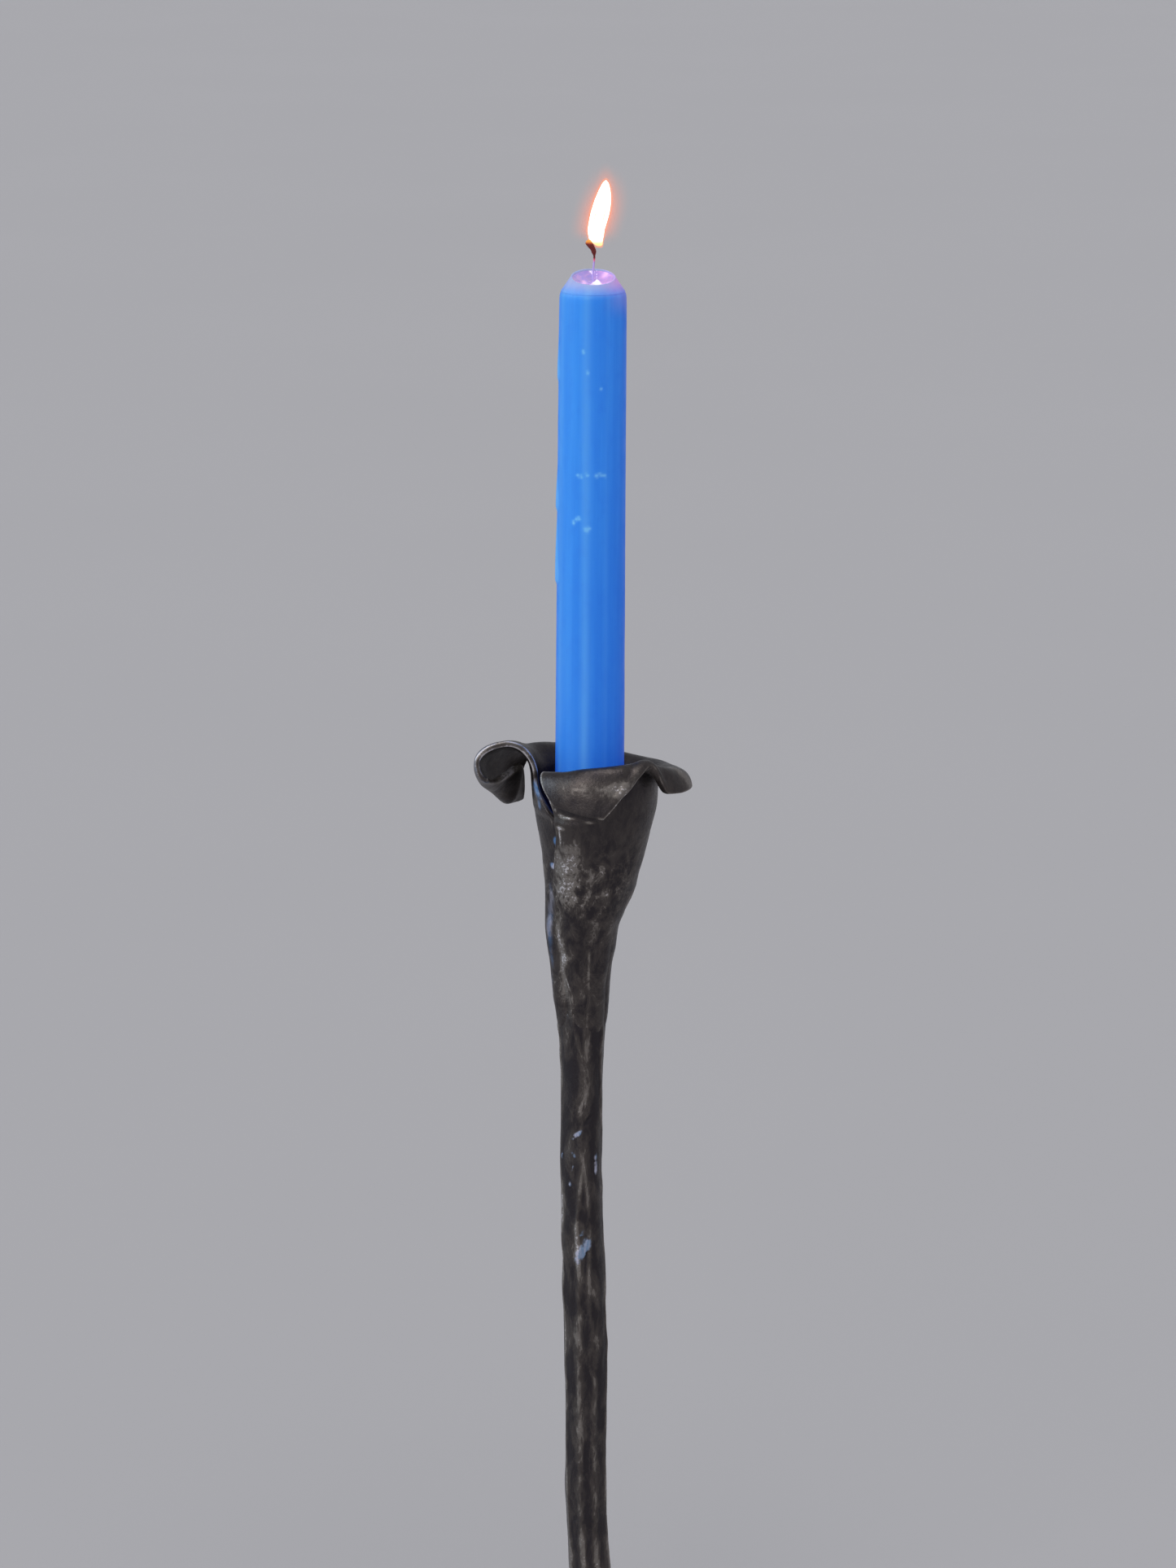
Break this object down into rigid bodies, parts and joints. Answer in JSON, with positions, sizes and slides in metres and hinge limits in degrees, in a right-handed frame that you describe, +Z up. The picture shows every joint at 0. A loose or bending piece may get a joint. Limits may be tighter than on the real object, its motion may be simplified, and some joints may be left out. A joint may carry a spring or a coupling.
{
  "type": "forged flower candlestick",
  "caption": "Hand-forged dark iron candlestick: a calla-like flower cup on a slim hammered stem and round foot, holding a tapered dinner candle.",
  "frame": {"origin": "centre of the foot's underside, on the ground", "axes": "+Z up along the stem; the flower's pointed front flap faces -Y and its big scroll is towards -X"},
  "size_m": [0.12, 0.12, 0.5139],
  "materials": {
    "plate_iron": "blackened forged iron, waxed",
    "hammered_iron": "blackened hammered iron with burnished ridges",
    "forged_iron": "blackened forged sheet, burnished on the edges",
    "blue_wax": "satin translucent candle wax, dyed blue",
    "burnt_cotton": "charred cotton wick"
  },
  "bodies": {
    "holder": {"base_plate": "plate_iron", "stem": "hammered_iron", "flower": "forged_iron"},
    "candle": {"candle": "blue_wax", "wick": "burnt_cotton"}
  },
  "joints": [
    {"name": "candle_lift", "type": "slide", "parent": "holder", "child": "candle", "axis": [0.0063, 0, 1], "range_m": [0, 0.06]}
  ]
}
